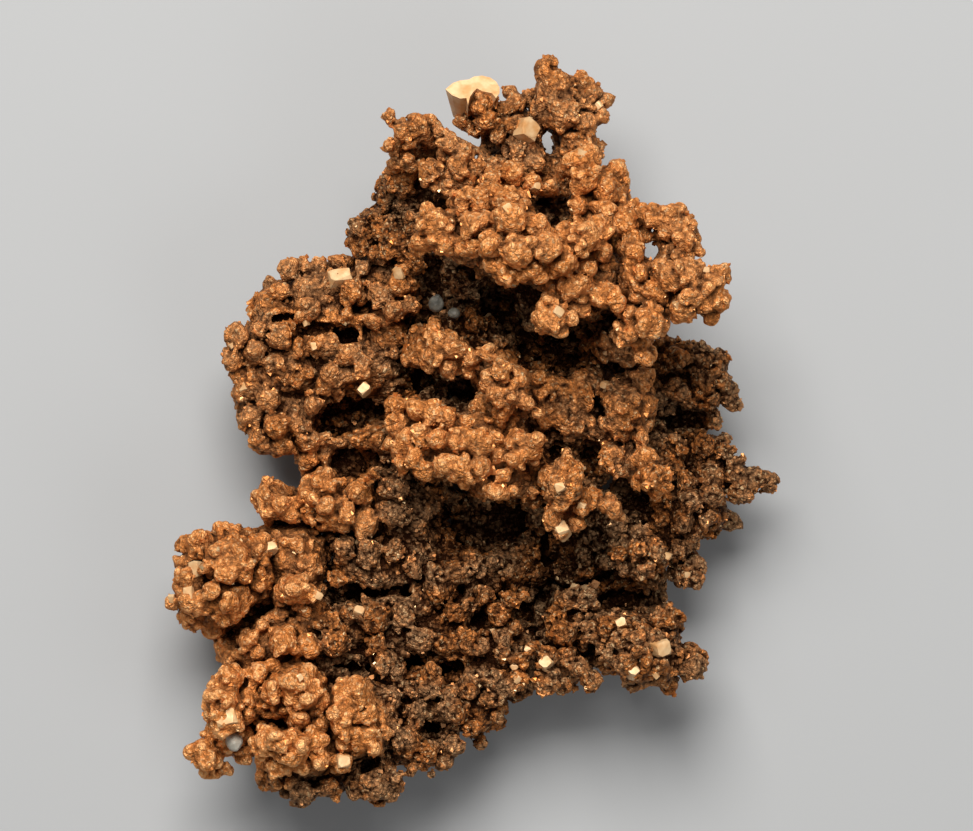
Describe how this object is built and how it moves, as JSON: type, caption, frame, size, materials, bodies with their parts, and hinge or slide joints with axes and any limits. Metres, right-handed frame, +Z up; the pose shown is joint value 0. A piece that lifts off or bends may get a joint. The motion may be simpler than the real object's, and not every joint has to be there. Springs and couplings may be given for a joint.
{
  "type": "native copper nugget",
  "caption": "Spongy natural copper nugget with clustered knobs, ridges, deep pits and bright flat crystal faces, lying on its back on a table.",
  "frame": {"origin": "on the table, under the middle of the nugget's box in X and Y", "axes": "+Z up from the table, +Y the nugget's long way towards its narrow crown, +X to the right as seen from above"},
  "size_m": [0.0621, 0.076, 0.0324],
  "materials": {
    "patinated_copper": "reddish brown patina with bright orange knobs",
    "quartz": "milky, pale grey",
    "grey_stone": "dull grey broken stone"
  },
  "bodies": {
    "root": {"copper_nugget": "patinated_copper", "quartz_grain": "quartz", "grey_grain_large": "grey_stone", "grey_grain_small": "grey_stone"}
  },
  "joints": []
}
